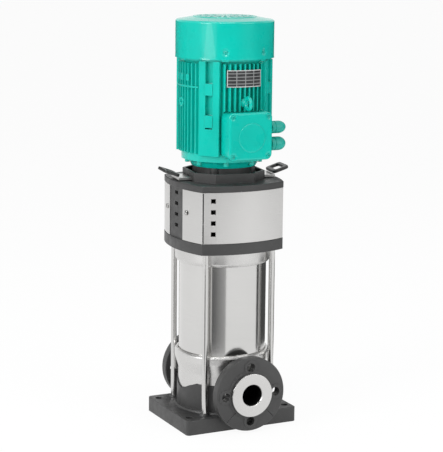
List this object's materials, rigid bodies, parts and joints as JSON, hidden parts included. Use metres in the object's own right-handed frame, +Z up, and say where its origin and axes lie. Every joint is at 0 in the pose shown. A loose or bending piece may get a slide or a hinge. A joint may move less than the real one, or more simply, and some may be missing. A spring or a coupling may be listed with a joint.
{
  "type": "vertical multistage pump",
  "caption": "Upright inline centrifugal pump: square base with two flanged ports, stacked stages in a steel sleeve held by tie rods, a guarded coupling and a finned electric motor on top.",
  "frame": {"origin": "centre of the base's underside, on the shaft axis, at the centre of the four anchor holes", "axes": "+Z up along the shaft, -Y towards the suction port, +X across the ports"},
  "size_m": [0.2654, 0.28, 0.823],
  "materials": {
    "bearing_steel": "polished bearing steel",
    "board_plastic": "brown moulded board",
    "bush_carbide": "dark sintered carbide",
    "cast_iron_black": "semi-gloss black paint over a fine cast texture",
    "core_steel": "stacked electrical steel",
    "coupling_iron": "bare sintered iron",
    "fan_plastic": "black polymer",
    "flange_iron": "semi-gloss black paint over a cast texture",
    "gland_plastic": "teal plastic",
    "grip_black": "black coating on steel",
    "guard_steel": "brushed stainless sheet",
    "housing_steel": "pickled stainless steel, satin",
    "hydraulic_steel": "pressed stainless steel",
    "lug_steel": "bare steel strip",
    "motor_paint": "gloss teal enamel on cast aluminium",
    "painted_screws": "steel screws painted over in teal",
    "plate_aluminium": "printed aluminium, dark field with a bare edge",
    "rod_steel": "bright drawn stainless bar",
    "seal_rubber": "black rubber",
    "shaft_steel": "ground steel",
    "sleeve_steel": "rolled stainless sheet, smooth and bright",
    "winding_copper": "varnished copper wire",
    "zinc_fasteners": "zinc plated steel"
  },
  "bodies": {
    "pump": {"base_plate": "cast_iron_black", "cable_glands": "gland_plastic", "coupling_guard_front": "guard_steel", "coupling_guard_rear": "guard_steel", "discharge_ring": "hydraulic_steel", "drive_end_bearing": "bearing_steel", "fan_cover": "motor_paint", "fan_cover_screws": "painted_screws", "fan_end_bearing": "bearing_steel", "guard_screws": "zinc_fasteners", "housing_gasket": "seal_rubber", "inlet_bowl": "hydraulic_steel", "lantern": "cast_iron_black", "lid_screws": "painted_screws", "lifting_eye": "motor_paint", "lower_bush": "bush_carbide", "lug_arms": "lug_steel", "lug_bolts": "zinc_fasteners", "lug_grips": "grip_black", "motor_bolts": "zinc_fasteners", "motor_flange": "motor_paint", "motor_frame": "motor_paint", "nameplate": "plate_aluminium", "outer_sleeve": "sleeve_steel", "pump_head": "housing_steel", "pump_housing": "housing_steel", "rear_end_shield": "motor_paint", "seal_cover": "hydraulic_steel", "seal_cover_screws": "zinc_fasteners", "seal_stationary_ring": "bush_carbide", "sleeve_o_rings": "seal_rubber", "stage_casing_1": "hydraulic_steel", "stage_casing_2": "hydraulic_steel", "stage_casing_3": "hydraulic_steel", "stage_casing_4": "hydraulic_steel", "stator_core": "core_steel", "stator_windings": "winding_copper", "terminal_board": "board_plastic", "terminal_box": "motor_paint", "terminal_box_lid": "motor_paint", "tie_rod_nuts": "zinc_fasteners", "tie_rods": "rod_steel", "vent_plug": "zinc_fasteners"},
    "rotor": {"coupling_half_front": "coupling_iron", "coupling_half_rear": "coupling_iron", "coupling_screws": "zinc_fasteners", "fan": "fan_plastic", "impeller_1": "hydraulic_steel", "impeller_2": "hydraulic_steel", "impeller_3": "hydraulic_steel", "impeller_4": "hydraulic_steel", "impeller_nut": "zinc_fasteners", "motor_shaft": "shaft_steel", "pump_shaft": "shaft_steel", "rotor_core": "core_steel", "seal_bellows": "seal_rubber", "seal_rotating_ring": "bush_carbide", "shaft_spacers": "hydraulic_steel"},
    "suction_flange_ring": {"suction_flange": "flange_iron"},
    "discharge_flange_ring": {"discharge_flange": "flange_iron"}
  },
  "joints": [
    {"name": "shaft_spin", "type": "hinge", "parent": "pump", "child": "rotor", "pos_m": [0, 0, 0.3], "axis": [0, 0, 1], "continuous": true},
    {"name": "suction_flange_turn", "type": "hinge", "parent": "pump", "child": "suction_flange_ring", "pos_m": [0, -0.123, 0.08], "axis": [0, 1, 0], "continuous": true},
    {"name": "discharge_flange_turn", "type": "hinge", "parent": "pump", "child": "discharge_flange_ring", "pos_m": [0, 0.123, 0.08], "axis": [0, 1, 0], "continuous": true}
  ]
}
